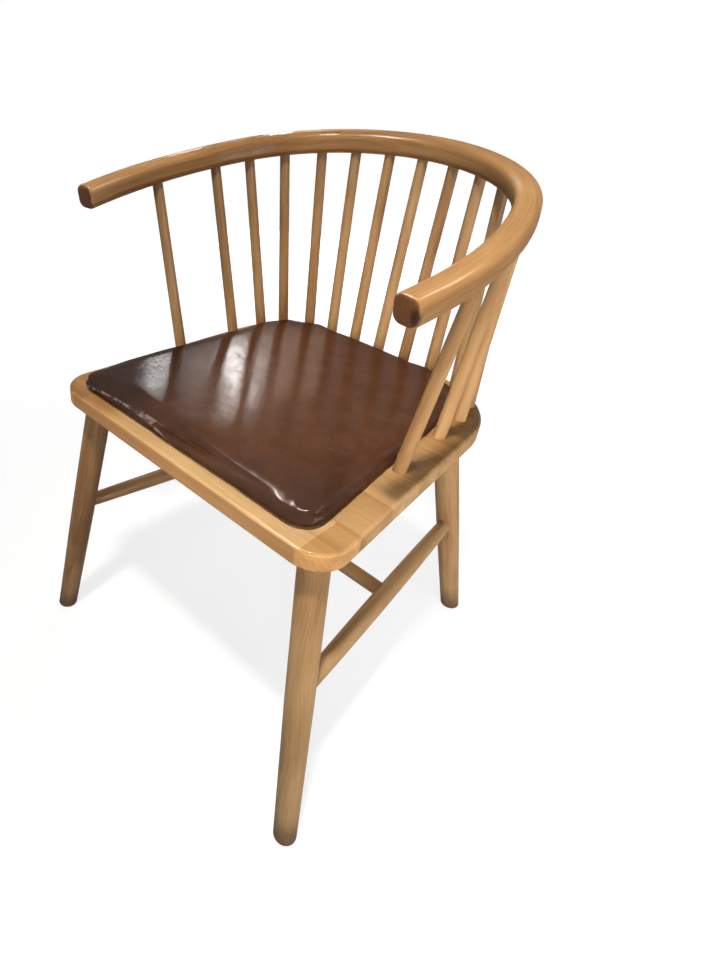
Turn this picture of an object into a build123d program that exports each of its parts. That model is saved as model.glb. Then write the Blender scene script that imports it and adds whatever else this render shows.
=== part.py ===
from build123d import *
import math
import os

# Seat plank
seat_top = 440.0
seat_thickness = 25.0
seat_depth = 441.0
seat_front_width = 466.0
seat_rear_width = 397.0
seat_front_corner = 40.0
seat_rear_corner = 120.0
seat_upper_edge = 4.0
seat_lower_edge = 5.0

# Arm rail, a bow in one tilted plane
rail_width = 27.0
rail_height = 29.0
rail_corner = 9.5
rail_end_round = 4.0
rail_rise = 299.0
rail_tilt = 8.9
rail_setback = 1.4
rail_back_radius = 215.0
rail_back_angle = 70.0
rail_side_radius = 487.0
rail_side_angle = 27.0
rail_arm_straight = 22.0

# Spindles, seven on each side of the middle one
spindle_foot_diameter = 16.0
spindle_top_diameter = 14.0
spindle_tenon_diameter = 11.0
spindle_tenon_length = 14.0
spindle_past_middle = 2.0
spindle_side_inset = 29.0
spindle_back_inset = 21.0
spindle_foot_corner = 60.0
back_gap_seat = 44.0
side_gap_seat = 60.0
front_gap_seat = 102.0
close_pairs_seat = 5
back_gap_rail = 48.0
side_gap_rail = 53.3
front_gap_rail = 93.0
close_pairs_rail = 3
pairs = 7

# Legs
leg_top_diameter = 36.0
leg_middle_diameter = 34.4
leg_foot_diameter = 29.6
leg_foot_round = 3.0
leg_tenon_diameter = 22.0
leg_tenon_length = 15.0
front_leg_side_inset = 39.0
front_leg_front_inset = 42.0
front_leg_spread = 59.0
front_leg_rake = 50.0
rear_leg_side_inset = 64.0
rear_leg_back_inset = 48.0
rear_leg_spread = 54.0
rear_leg_rake = 110.0

# Stretchers
stretcher_front_height = 226.0
stretcher_rear_height = 203.0
stretcher_end_diameter = 19.5
stretcher_middle_diameter = 24.0
cross_diameter = 20.0
cross_middle_diameter = 21.0
cross_share = 0.49
stretcher_tenon_diameter = 14.0
cross_tenon_diameter = 12.0
stretcher_past_middle = 3.0

# Seat pad
pad_side_height = 21.0
pad_crown = 5.0
pad_crown_reach = 75.0
pad_edge_round = 9.0
pad_tuck = 4.0
pad_front_margin = 14.0
pad_front_flare = 7.0
pad_rear_draw = 10.0
pad_back_gap = 3.0
pad_front_corner = 34.0
pad_rear_corner = 70.0
pad_least_corner = 6.0
pad_side_start = 0.45
pad_crown_start = 0.1
pad_side_rings = 5
pad_crown_rings = 3
leather_thickness = 1.2
leather_turn_under = 22.0
board_thickness = 6.0

# Screws that hold the pad
screw_diameter = 4.0
screw_head_diameter = 8.0
screw_head_height = 3.0
screw_counterbore_depth = 11.0
screw_spacing_x = 220.0
screw_spacing_y = 220.0
screw_into_board = 5.0

# Fits
glue_gap = 0.1
socket_floor_gap = 0.5
cope_gap = 0.15
pad_gap = 0.2
screw_gap = 0.2
cut_run_on = 60.0

# Places worked out from the sizes above
seat_under = seat_top - seat_thickness
foot_depth = (
    seat_depth - front_leg_front_inset - rear_leg_back_inset + front_leg_rake + rear_leg_rake
)
seat_front = front_leg_rake - front_leg_front_inset - foot_depth / 2
seat_rear = seat_front + seat_depth
seat_side_slope = (seat_rear_width - seat_front_width) / 2 / seat_depth
spindle_reach = spindle_side_inset + spindle_foot_diameter / 2
upright = (Align.CENTER, Align.CENTER, Align.MIN)


def side_x(y):
    """Half width of the seat, between its straight side lines, at y."""
    return seat_front_width / 2 + seat_side_slope * (y - seat_front)


def tapered_outline(front_y, front_half, rear_y, rear_half, front_radius, rear_radius):
    """Outline with a straight front and back, tapering sides and four round corners."""
    corners = [(-front_half, front_y), (front_half, front_y), (rear_half, rear_y), (-rear_half, rear_y)]
    face = make_face(Polyline(*corners, close=True))
    front = face.vertices().filter_by(lambda v: v.Y < (front_y + rear_y) / 2)
    face = fillet(front, front_radius)
    rear = face.vertices().group_by(Axis.Y)[-1]
    return fillet(rear, rear_radius)


def rod(start, end, diameter):
    """Round rod from one point to another."""
    axis = Vector(*end) - Vector(*start)
    plane = Plane(origin=start, z_dir=axis)
    return plane * Cylinder(diameter / 2, axis.length, align=upright)


def turned(start, end, end_diameter, middle_diameter):
    """Turned stick with a slight belly, its seam line underneath."""
    axis = end - start
    length = axis.length
    edge = end_diameter / 2
    belly = ThreePointArc((edge, 0), (middle_diameter / 2, length / 2), (edge, length))
    rest = Polyline(belly @ 1, (0, length), (0, 0), belly @ 0)
    profile = Plane.XZ * make_face(belly + rest)
    underneath = axis.cross(Vector(0, 0, -1)).cross(axis)
    return Plane(origin=start, x_dir=underneath, z_dir=axis) * revolve(profile, Axis.Z)


def toward(start, end, distance):
    """Point at a distance from start along the line to end."""
    return Vector(*start) + (Vector(*end) - Vector(*start)).normalized() * distance


def slab(low, high):
    """Block of space between two heights, wider than the chair."""
    wide = 4 * (seat_depth + seat_front_width)
    return Pos(0, 0, low) * Box(wide, wide, high - low, align=upright)


# Rail: half of its line, from the middle of the back to the end of the right arm
rail_plane = Plane(
    origin=(0, seat_rear - rail_setback, seat_top + rail_rise),
    x_dir=(1, 0, 0),
    z_dir=(0, -math.sin(math.radians(rail_tilt)), math.cos(math.radians(rail_tilt))),
)
back_bend = JernArc((0, 0), (1, 0), rail_back_radius, -rail_back_angle)
side_bend = JernArc(back_bend @ 1, back_bend % 1, rail_side_radius, -rail_side_angle)
arm_line = Line(side_bend @ 1, (side_bend @ 1) + (side_bend % 1) * rail_arm_straight)
rail_half = Wire([back_bend.edge(), side_bend.edge(), arm_line.edge()])

# Line of the spindle feet on the seat: half of it, on the right
foot_back = seat_rear - spindle_back_inset
foot_line = FilletPolyline(
    (0, foot_back),
    (side_x(foot_back) - spindle_side_inset, foot_back),
    (side_x(seat_front) - spindle_side_inset, seat_front),
    radius=spindle_foot_corner,
)


def along(line, distance):
    """Point at a distance along a line, from its start."""
    return line.position_at(distance, position_mode=PositionMode.LENGTH)


def spaced(back_gap, close_pairs, side_gap, front_gap):
    """Distances of the spindles from the middle one, along one side."""
    marks = []
    reach = 0.0
    for k in range(pairs - 1):
        reach += back_gap if k < close_pairs else side_gap
        marks.append(reach)
    marks.append(reach + front_gap)
    return marks


spindle_lines = [(Vector(0, foot_back, seat_top), rail_plane.from_local_coords(Vector(0, 0, 0)))]
for seat_mark, rail_mark in zip(
    spaced(back_gap_seat, close_pairs_seat, side_gap_seat, front_gap_seat),
    spaced(back_gap_rail, close_pairs_rail, side_gap_rail, front_gap_rail),
):
    foot_2d = along(foot_line, seat_mark)
    foot = Vector(foot_2d.X, foot_2d.Y, seat_top)
    head = rail_plane.from_local_coords(along(rail_half, rail_mark))
    spindle_lines.append((foot, head))
    spindle_lines.insert(0, (Vector(-foot.X, foot.Y, foot.Z), Vector(-head.X, head.Y, head.Z)))

# Legs on the right: where each meets the seat, and its foot
front_leg_y = seat_front + front_leg_front_inset
rear_leg_y = seat_rear - rear_leg_back_inset
front_leg_top = Vector(side_x(front_leg_y) - front_leg_side_inset, front_leg_y, seat_under)
rear_leg_top = Vector(side_x(rear_leg_y) - rear_leg_side_inset, rear_leg_y, seat_under)
front_foot = Vector(front_leg_top.X + front_leg_spread, front_leg_y - front_leg_rake, 0)
rear_foot = Vector(rear_leg_top.X + rear_leg_spread, rear_leg_y + rear_leg_rake, 0)


def on_leg(foot, top, height):
    """Point on a leg's middle line at a height."""
    return foot + (top - foot) * (height / seat_under)


side_front = on_leg(front_foot, front_leg_top, stretcher_front_height)
side_rear = on_leg(rear_foot, rear_leg_top, stretcher_rear_height)
cross_right = side_front + (side_rear - side_front) * cross_share
cross_left = Vector(-cross_right.X, cross_right.Y, cross_right.Z)


def spindle(foot, head):
    """One spindle: a tenon in the seat, a tapering body, and a plain end in the rail."""
    low_end = toward(foot, head, -cut_run_on)
    high_end = toward(head, foot, -spindle_past_middle)
    plain_start = toward(head, foot, rail_width)
    plane = Plane(origin=foot, z_dir=head - foot)
    taper_length = (plain_start - foot).length
    profile = Polyline(
        (0, -cut_run_on),
        (spindle_foot_diameter / 2, -cut_run_on),
        (spindle_foot_diameter / 2, 0),
        (spindle_top_diameter / 2, taper_length),
        (spindle_top_diameter / 2, (high_end - foot).length),
        (0, (high_end - foot).length),
        close=True,
    )
    body = plane * revolve(Plane.XZ * make_face(profile), Axis.Z)
    body = body & slab(seat_top, 2 * (seat_top + rail_rise))
    tenon_end = toward(foot, low_end, spindle_tenon_length)
    return body + rod(tenon_end, toward(foot, head, spindle_foot_diameter), spindle_tenon_diameter)


def leg_form(foot, top, gap):
    """A leg's outer form, larger by a gap: two tapers that meet at its middle and run on past both ends."""
    axis = top - foot
    half = axis.length / 2
    span = half + cut_run_on
    foot_growth = (leg_middle_diameter - leg_foot_diameter) / 2 * cut_run_on / half
    top_growth = (leg_top_diameter - leg_middle_diameter) / 2 * cut_run_on / half
    middle = leg_middle_diameter / 2 + gap
    above = Cone(middle, leg_top_diameter / 2 + top_growth + gap, span, align=upright)
    below = Cone(middle, leg_foot_diameter / 2 - foot_growth + gap, span, align=upright)
    centre = foot + axis / 2
    return Plane(origin=centre, z_dir=axis) * above + Plane(origin=centre, z_dir=-axis) * below


def leg(foot, top, stretcher_point, stretcher_far):
    """One leg, cut level at the floor and under the seat, with its tenon and a stretcher socket."""
    body = leg_form(foot, top, 0) & slab(0, seat_under)
    body = fillet(body.edges().group_by(Axis.Z)[0], leg_foot_round)
    tenon_end = toward(top, foot, -leg_tenon_length)
    tenon = rod(toward(top, foot, leg_top_diameter), tenon_end, leg_tenon_diameter)
    socket = rod(
        toward(stretcher_point, stretcher_far, -stretcher_past_middle - socket_floor_gap),
        toward(stretcher_point, stretcher_far, leg_top_diameter),
        stretcher_tenon_diameter + 2 * glue_gap,
    )
    return body + tenon - socket


def side_stretcher_room(gap):
    """The right stretcher's turned form, from leg line to leg line, larger by a gap."""
    ends = stretcher_end_diameter + 2 * gap
    return turned(side_front, side_rear, ends, stretcher_middle_diameter + 2 * gap)


def side_stretcher():
    """Right stretcher: coped to both legs, a tenon at each end, a socket for the cross stretcher."""
    body = side_stretcher_room(0)
    body = body - leg_form(front_foot, front_leg_top, cope_gap) - leg_form(rear_foot, rear_leg_top, cope_gap)
    tenon = rod(
        toward(side_front, side_rear, -stretcher_past_middle),
        toward(side_rear, side_front, -stretcher_past_middle),
        stretcher_tenon_diameter,
    )
    socket = rod(
        toward(cross_right, cross_left, -stretcher_past_middle - socket_floor_gap),
        toward(cross_right, cross_left, stretcher_middle_diameter),
        cross_tenon_diameter + 2 * glue_gap,
    )
    return body + tenon - socket


def cross_stretcher():
    """Cross stretcher: coped to both side stretchers, a tenon at each end."""
    body = turned(cross_left, cross_right, cross_diameter, cross_middle_diameter)
    room = side_stretcher_room(cope_gap)
    body = body - room - mirror(room, about=Plane.YZ)
    tenon = rod(
        toward(cross_left, cross_right, -stretcher_past_middle),
        toward(cross_right, cross_left, -stretcher_past_middle),
        cross_tenon_diameter,
    )
    return body + tenon


# Pad outline on the seat
pad_front = seat_front + pad_front_margin
pad_rear = foot_back - spindle_foot_diameter / 2 - pad_back_gap
pad_front_half = side_x(pad_front) - spindle_reach + pad_front_flare
pad_rear_half = side_x(pad_rear) - spindle_reach - pad_rear_draw
pad_bottom = seat_top + pad_gap
pad_height = pad_side_height + pad_crown


def pad_outline(inset, z):
    """Outline of the pad, drawn in all round by an inset, at a height."""
    face = tapered_outline(
        pad_front + inset,
        pad_front_half - inset,
        pad_rear - inset,
        pad_rear_half - inset,
        max(pad_front_corner - inset, pad_least_corner),
        max(pad_rear_corner - inset, pad_least_corner),
    )
    return Pos(0, 0, z) * face


def pad_form(shell):
    """The pad's form less a shell all round: sides drawn in at the foot, round edge, crowned top."""
    rings = [(pad_tuck, 0.0)]
    for k in range(1, pad_side_rings):
        angle = math.pi / 2 * k / pad_side_rings
        rise = pad_side_start + (1 - pad_side_start) * math.sin(angle)
        rings.append((pad_edge_round * (1 - math.cos(angle)), pad_side_height * rise))
    for k in range(pad_crown_rings):
        share = k / (pad_crown_rings - 1)
        inset = pad_edge_round + (pad_crown_reach - pad_edge_round) * share
        rise = math.sin(math.pi / 2 * (pad_crown_start + (1 - pad_crown_start) * share))
        rings.append((inset, pad_side_height + pad_crown * rise))
    shrink = (pad_height - 2 * shell) / pad_height
    outlines = [pad_outline(inset + shell, pad_bottom + shell + z * shrink) for inset, z in rings]
    return loft(outlines, ruled=True)


board_low = pad_bottom + leather_thickness
board_inset = pad_tuck + leather_thickness


def board_blank(inset):
    """The board without its screw holes."""
    return extrude(pad_outline(inset, board_low), board_thickness)


screw_middle_y = (pad_front + pad_rear) / 2
screw_places = [
    (side * screw_spacing_x / 2, screw_middle_y + end * screw_spacing_y / 2)
    for side in (-1, 1)
    for end in (-1, 1)
]
screw_head_z = seat_under + screw_counterbore_depth


def screw(x, y):
    """One pan-head screw, driven up from under the seat into the board."""
    shank_top = board_low + screw_into_board
    shank = rod((x, y, screw_head_z), (x, y, shank_top), screw_diameter)
    head = rod((x, y, screw_head_z - screw_head_height), (x, y, screw_head_z), screw_head_diameter)
    return shank + head


def pad_board():
    """Plywood board with four screw holes."""
    board = board_blank(board_inset)
    for x, y in screw_places:
        hole_top = board_low + screw_into_board + screw_gap
        board -= rod((x, y, board_low), (x, y, hole_top), screw_diameter + 2 * screw_gap)
    return board


def pad_cover():
    """Leather skin round the pad, turned under the board's edge and open below."""
    skin = pad_form(0) - pad_form(leather_thickness)
    window = extrude(pad_outline(pad_tuck + leather_turn_under, pad_bottom), leather_thickness)
    return skin - window


def pad_foam():
    """Filling between the board and the leather."""
    return pad_form(leather_thickness) - board_blank(board_inset)


def seat_plank():
    """Seat with sockets for spindles and legs, and counterbored holes for the pad's screws."""
    outline = tapered_outline(
        seat_front, seat_front_width / 2, seat_rear, seat_rear_width / 2, seat_front_corner, seat_rear_corner
    )
    plank = extrude(Pos(0, 0, seat_under) * outline, seat_thickness)
    plank = fillet(plank.edges().group_by(Axis.Z)[-1], seat_upper_edge)
    plank = fillet(plank.edges().group_by(Axis.Z)[0], seat_lower_edge)
    for foot, head in spindle_lines:
        bottom = toward(foot, head, -spindle_tenon_length - socket_floor_gap)
        mouth = toward(foot, head, spindle_tenon_length)
        plank -= rod(bottom, mouth, spindle_tenon_diameter + 2 * glue_gap)
    for foot, top in ((front_foot, front_leg_top), (rear_foot, rear_leg_top)):
        floor = toward(top, foot, -leg_tenon_length - socket_floor_gap)
        socket = rod(toward(top, foot, leg_tenon_length), floor, leg_tenon_diameter + 2 * glue_gap)
        plank = plank - socket - mirror(socket, about=Plane.YZ)
    for x, y in screw_places:
        plank -= rod((x, y, seat_under), (x, y, seat_top), screw_diameter + 2 * screw_gap)
        plank -= rod((x, y, seat_under), (x, y, screw_head_z), screw_head_diameter + 2 * screw_gap)
    return plank


def arm_rail():
    """Bent bow with rounded ends and a socket for each spindle."""
    arm_end = arm_line @ 1
    section_plane = Plane(origin=arm_end, x_dir=(0, 0, 1), z_dir=-(arm_line % 1))
    section = section_plane * RectangleRounded(rail_height, rail_width, rail_corner)
    whole_line = Wire(list(rail_half.edges()) + list(mirror(rail_half, about=Plane.YZ).edges()))
    bow = sweep(section, path=whole_line)
    end_faces = bow.faces().filter_by(GeomType.PLANE).group_by(Axis.Y)[0]
    bow = fillet([edge for face in end_faces for edge in face.edges()], rail_end_round)
    bow = rail_plane * bow
    for foot, head in spindle_lines:
        bottom = toward(head, foot, -spindle_past_middle - socket_floor_gap)
        bow -= rod(bottom, toward(head, foot, rail_width), spindle_top_diameter + 2 * glue_gap)
    return bow


def left_of(piece):
    """The mirror twin of a piece on the right."""
    return mirror(piece, about=Plane.YZ)


parts = {"seat_plank": seat_plank(), "arm_rail": arm_rail()}
for number, (foot, head) in enumerate(spindle_lines, start=1):
    parts[f"spindle_{number:02d}"] = spindle(foot, head)
parts["leg_front_right"] = leg(front_foot, front_leg_top, side_front, side_rear)
parts["leg_front_left"] = left_of(parts["leg_front_right"])
parts["leg_rear_right"] = leg(rear_foot, rear_leg_top, side_rear, side_front)
parts["leg_rear_left"] = left_of(parts["leg_rear_right"])
parts["stretcher_right"] = side_stretcher()
parts["stretcher_left"] = left_of(parts["stretcher_right"])
parts["stretcher_cross"] = cross_stretcher()
parts["pad_board"] = pad_board()
parts["pad_foam"] = pad_foam()
parts["pad_cover"] = pad_cover()
parts["pad_screws"] = Compound([screw(x, y) for x, y in screw_places])

os.makedirs("parts", exist_ok=True)
for name, piece in parts.items():
    export_step(piece, f"parts/{name}.step")
    box = piece.bounding_box()
    size = f"{box.size.X:.1f} x {box.size.Y:.1f} x {box.size.Z:.1f} mm"
    print(f"{name}: {size}, {piece.volume / 1000:.1f} cm3")
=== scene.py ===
# %% [markdown]
# A spindle back armchair, dressed in Blender over its CAD frame.
# The frame holds every rigid piece at its real size and place, so this script never moves one.
# It adds what CAD leaves plain: the soft leather pad, the finishes, the light and the camera.

# %% Load the frame
import math
import bpy
import numpy as np
from mathutils import Euler, Matrix, Vector, noise


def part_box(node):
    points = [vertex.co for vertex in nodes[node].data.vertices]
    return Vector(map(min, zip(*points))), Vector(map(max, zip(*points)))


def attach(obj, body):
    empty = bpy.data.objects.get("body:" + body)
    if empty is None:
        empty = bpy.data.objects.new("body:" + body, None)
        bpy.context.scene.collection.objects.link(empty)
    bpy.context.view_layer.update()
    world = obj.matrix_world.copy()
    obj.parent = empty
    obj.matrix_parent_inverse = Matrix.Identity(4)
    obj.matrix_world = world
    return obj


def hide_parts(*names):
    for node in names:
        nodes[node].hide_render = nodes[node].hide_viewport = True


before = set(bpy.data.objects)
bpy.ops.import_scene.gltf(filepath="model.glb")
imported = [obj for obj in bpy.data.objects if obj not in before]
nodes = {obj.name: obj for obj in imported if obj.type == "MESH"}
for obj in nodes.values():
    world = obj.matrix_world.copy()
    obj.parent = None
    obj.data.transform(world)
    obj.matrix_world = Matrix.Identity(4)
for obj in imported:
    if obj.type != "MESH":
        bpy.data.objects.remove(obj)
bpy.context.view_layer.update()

scene = bpy.context.scene
scene.view_settings.view_transform = "Standard"
print("frame:", len(nodes), "pieces")

# %% [markdown]
# The camera stands where the photographer stood: in front of the chair, to its right and above
# its arms, with the picture turned by a few degrees. A wide lens gives the strong perspective.
# The picture is cut off-centre from a larger one, and the lens shift repeats that cut.

# %% Camera
PHOTO_WIDTH, PHOTO_HEIGHT = 720, 960
FOCAL_PIXELS = 638.8
AXIS_PIXEL = (206.2, 410.95)
EYE = Vector((0.4598, -0.6326, 0.8664))
AZIMUTH, ELEVATION, ROLL = 45.86, 31.21, 2.78

lens = bpy.data.cameras.new("photo_lens")
lens.sensor_width = 36.0
lens.lens = FOCAL_PIXELS * lens.sensor_width / PHOTO_HEIGHT
lens.shift_x = (PHOTO_WIDTH / 2 - AXIS_PIXEL[0]) / PHOTO_HEIGHT
lens.shift_y = (AXIS_PIXEL[1] - PHOTO_HEIGHT / 2) / PHOTO_HEIGHT
lens.clip_start = 0.01

camera = bpy.data.objects.new("photo_camera", lens)
scene.collection.objects.link(camera)
aim = Euler((math.radians(90 - ELEVATION), 0, math.radians(AZIMUTH))).to_matrix()
camera.rotation_euler = (aim @ Matrix.Rotation(math.radians(ROLL), 3, "Z")).to_euler()
camera.location = EYE
scene.camera = camera
print("camera: lens %.1f mm, shift %.3f %.3f" % (lens.lens, lens.shift_x, lens.shift_y))

# %% [markdown]
# Shader nodes are wired by a few small helpers, so that each finish below reads as a recipe.
# Most of them take sockets and plain values alike.

# %% Shader helpers
def new_node(tree, kind, **settings):
    """Adds a shader node and sets its properties."""
    made = tree.nodes.new(kind)
    for name, value in settings.items():
        setattr(made, name, value)
    return made


def feed(tree, socket, value):
    """Links a socket into another one, or sets it to a plain value."""
    if isinstance(value, bpy.types.NodeSocket):
        tree.links.new(value, socket)
    elif value is not None:
        socket.default_value = value


def calc(tree, operation, a, b=None, c=None):
    """One step of arithmetic on sockets or numbers."""
    step = new_node(tree, "ShaderNodeMath", operation=operation)
    for socket, value in zip(step.inputs, (a, b, c)):
        feed(tree, socket, value)
    return step.outputs[0]


def blend(tree, share, a, b, mode="MIX"):
    """Mixes two colours by a share from 0 to 1."""
    mix = new_node(tree, "ShaderNodeMix", data_type="RGBA", blend_type=mode)
    feed(tree, mix.inputs[0], share)
    feed(tree, mix.inputs[6], a)
    feed(tree, mix.inputs[7], b)
    return mix.outputs[2]


def remap(tree, value, low, high, to_low=0.0, to_high=1.0):
    """Moves a value from one range to another, smoothly and within its ends."""
    step = new_node(tree, "ShaderNodeMapRange", interpolation_type="SMOOTHSTEP")
    for socket, number in zip(step.inputs, (value, low, high, to_low, to_high)):
        feed(tree, socket, number)
    return step.outputs[0]


def scaled(tree, vector, factors):
    """A vector with each of its parts multiplied."""
    step = new_node(tree, "ShaderNodeVectorMath", operation="MULTIPLY")
    feed(tree, step.inputs[0], vector)
    step.inputs[1].default_value = factors
    return step.outputs[0]


def cloud(tree, vector, detail=2.0, roughness=0.5, distortion=0.0):
    """Soft noise over a vector that is already at its scale."""
    step = new_node(tree, "ShaderNodeTexNoise")
    feed(tree, step.inputs["Vector"], vector)
    step.inputs["Scale"].default_value = 1.0
    step.inputs["Detail"].default_value = detail
    step.inputs["Roughness"].default_value = roughness
    step.inputs["Distortion"].default_value = distortion
    return step.outputs["Fac"]


def parts_of(tree, vector):
    """The three parts of a vector."""
    step = new_node(tree, "ShaderNodeSeparateXYZ")
    feed(tree, step.inputs[0], vector)
    return step.outputs[0], step.outputs[1], step.outputs[2]


def joined(tree, x, y, z):
    """A vector from three parts."""
    step = new_node(tree, "ShaderNodeCombineXYZ")
    for socket, value in zip(step.inputs, (x, y, z)):
        feed(tree, socket, value)
    return step.outputs[0]


def span(tree, a, b):
    """The length that two parts at right angles make together."""
    squares = calc(tree, "ADD", calc(tree, "POWER", a, 2.0), calc(tree, "POWER", b, 2.0))
    return calc(tree, "SQRT", squares)


def new_material(name):
    """An empty material with its Principled shader and its tree."""
    material = bpy.data.materials.new(name)
    material.use_nodes = True
    return material, material.node_tree, material.node_tree.nodes["Principled BSDF"]


print("helpers ready")

# %% [markdown]
# The wood is a pale hardwood under a honey stain and a satin clear lacquer.
# Grain is long and thin, so every pattern is stretched along one direction. A node group draws the
# figure from a grain vector, whose first part runs along the fibres, in metres. Each piece of wood
# then only has to say how its own fibres run.

# %% Wood figure, shared by all the wooden pieces
HONEY_DARK = (0.285, 0.132, 0.048, 1)
HONEY_MIDDLE = (0.480, 0.274, 0.114, 1)
HONEY_LIGHT = (0.620, 0.394, 0.188, 1)
PORE_BROWN = (0.200, 0.085, 0.028, 1)
# Sizes of the patterns, in turns per metre along and across the fibres
STREAKS, FIBRES = (4, 46, 46), (26, 700, 700)
PATCHES, PORES = (7, 16, 16), (110, 2300, 2300)
RING_TURNS, RING_SLANT, RING_BOW = 1500.0, 0.45, 0.020
STREAK_SHARE, FIBRE_SHARE, RING_SHARE, PATCH_SHARE = 0.72, 0.20, 0.06, 0.55
DARK_STOP, MIDDLE_STOP, LIGHT_STOP = 0.22, 0.50, 0.78
PORE_RANGE, PORE_SHARE = (0.63, 0.76), 0.45
SATIN_SMOOTH, SATIN_ROUGH = 0.31, 0.43

figure = bpy.data.node_groups.new("honey_figure", "ShaderNodeTree")
figure.interface.new_socket("Grain", in_out="INPUT", socket_type="NodeSocketVector")
figure.interface.new_socket("Tone", in_out="INPUT", socket_type="NodeSocketFloat")
figure.interface.new_socket("Color", in_out="OUTPUT", socket_type="NodeSocketColor")
figure.interface.new_socket("Roughness", in_out="OUTPUT", socket_type="NodeSocketFloat")
figure.interface.new_socket("Height", in_out="OUTPUT", socket_type="NodeSocketFloat")
figure_in = new_node(figure, "NodeGroupInput")
figure_out = new_node(figure, "NodeGroupOutput")
grain = figure_in.outputs["Grain"]

streaks = cloud(figure, scaled(figure, grain, STREAKS), detail=4, roughness=0.55, distortion=0.6)
fibres = cloud(figure, scaled(figure, grain, FIBRES), detail=3, roughness=0.6)
patches = cloud(figure, scaled(figure, grain, PATCHES), detail=2)
pores = cloud(figure, scaled(figure, grain, PORES), detail=2)
across, deep = parts_of(figure, grain)[1:]
bow = calc(figure, "MULTIPLY", calc(figure, "SUBTRACT", patches, 0.5), RING_BOW)
slanted = calc(figure, "ADD", across, calc(figure, "MULTIPLY", deep, RING_SLANT))
ring_reach = calc(figure, "ADD", slanted, bow)
rings = calc(figure, "SINE", calc(figure, "MULTIPLY", ring_reach, RING_TURNS))
rings = calc(figure, "MULTIPLY_ADD", rings, 0.5, 0.5)

shade = calc(figure, "MULTIPLY", streaks, STREAK_SHARE)
shade = calc(figure, "MULTIPLY_ADD", fibres, FIBRE_SHARE, shade)
shade = calc(figure, "MULTIPLY_ADD", rings, RING_SHARE, shade)
shade = calc(figure, "MULTIPLY_ADD", calc(figure, "SUBTRACT", patches, 0.5), PATCH_SHARE, shade)
shade = calc(figure, "ADD", shade, figure_in.outputs["Tone"])
ramp = new_node(figure, "ShaderNodeValToRGB")
feed(figure, ramp.inputs[0], shade)
ramp.color_ramp.elements[0].position = DARK_STOP
ramp.color_ramp.elements[0].color = HONEY_DARK
ramp.color_ramp.elements[1].position = LIGHT_STOP
ramp.color_ramp.elements[1].color = HONEY_LIGHT
ramp.color_ramp.elements.new(MIDDLE_STOP).color = HONEY_MIDDLE
pore_mask = remap(figure, pores, *PORE_RANGE, 0.0, PORE_SHARE)
feed(figure, figure_out.inputs["Color"], blend(figure, pore_mask, ramp.outputs[0], PORE_BROWN))
satin = remap(figure, fibres, 0.25, 0.75, SATIN_SMOOTH, SATIN_ROUGH)
feed(figure, figure_out.inputs["Roughness"], satin)
relief = calc(figure, "SUBTRACT", calc(figure, "MULTIPLY", fibres, 0.5), pore_mask)
feed(figure, figure_out.inputs["Height"], relief)
print("wood figure:", len(figure.nodes), "nodes")

# %% [markdown]
# The lacquer is a thin coat of a high index in place of the shader's own gloss. It hardly gains at
# grazing angles, so round sticks keep their brown edges in a white studio.

# %% A wooden finish from a grain vector
GRAIN_STRENGTH, GRAIN_DEPTH = 0.10, 0.0004
LACQUER_WEIGHT, LACQUER_ROUGHNESS, LACQUER_INDEX = 0.10, 0.13, 2.2


def satin_wood(name, grain_of, tone=0.0):
    """Honey wood under lacquer; grain_of(tree, place) gives the grain vector and a tint or None."""
    material, tree, shader = new_material(name)
    place = new_node(tree, "ShaderNodeTexCoord").outputs["Object"]
    wood = new_node(tree, "ShaderNodeGroup", node_tree=figure)
    grain_vector, tint = grain_of(tree, place)
    feed(tree, wood.inputs["Grain"], grain_vector)
    wood.inputs["Tone"].default_value = tone
    colour = wood.outputs["Color"]
    if tint is not None:
        colour = tint(colour)
    feed(tree, shader.inputs["Base Color"], colour)
    feed(tree, shader.inputs["Roughness"], wood.outputs["Roughness"])
    bump = new_node(tree, "ShaderNodeBump")
    bump.inputs["Strength"].default_value = GRAIN_STRENGTH
    bump.inputs["Distance"].default_value = GRAIN_DEPTH
    feed(tree, bump.inputs["Height"], wood.outputs["Height"])
    feed(tree, shader.inputs["Normal"], bump.outputs["Normal"])
    shader.inputs["Specular IOR Level"].default_value = 0.0
    shader.inputs["Coat Weight"].default_value = LACQUER_WEIGHT
    shader.inputs["Coat Roughness"].default_value = LACQUER_ROUGHNESS
    shader.inputs["Coat IOR"].default_value = LACQUER_INDEX
    return material


def finish(node_name, material):
    """Gives a CAD piece its finish."""
    slots = nodes[node_name].data.materials
    slots.clear()
    slots.append(material)


print("wood finish ready")

# %% [markdown]
# Legs, stretchers and spindles are turned from straight sticks, so their fibres run along their
# length. The direction is read from the piece itself, as the line along which its points spread
# most. A Mapping node turns the pattern to it, and an offset gives each stick its own wood. Sticks
# differ a little in tone at random. The front left leg and the spindles on the left are darker:
# this is painted shade, where the light falls off to the left.

# %% Straight sticks
# Each leg is drawn darker towards the floor
FOOT_DARK = (0.075, 0.036, 0.018, 1)
FOOT_DARK_LOW, FOOT_DARK_HIGH, FOOT_DARK_SHARE, FOOT_DARK_WAVE = 0.012, 0.075, 0.72, 0.030
STICK_TONES = 0.05
# Painted shade for the front left leg and the spindles on the left
FRONT_LEFT_LEG_SHADE = -0.15
LEFT_SPINDLE_SHADE, LEFT_SPINDLE_X = -0.07, -0.06


def stick_axis(node_name):
    """Middle and direction of a straight piece."""
    mesh = nodes[node_name].data
    points = np.empty(len(mesh.vertices) * 3)
    mesh.vertices.foreach_get("co", points)
    points = points.reshape(-1, 3)
    middle = points.mean(axis=0)
    spread = np.linalg.svd(points - middle, full_matrices=False)[2]
    return Vector(middle), Vector(spread[0])


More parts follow.
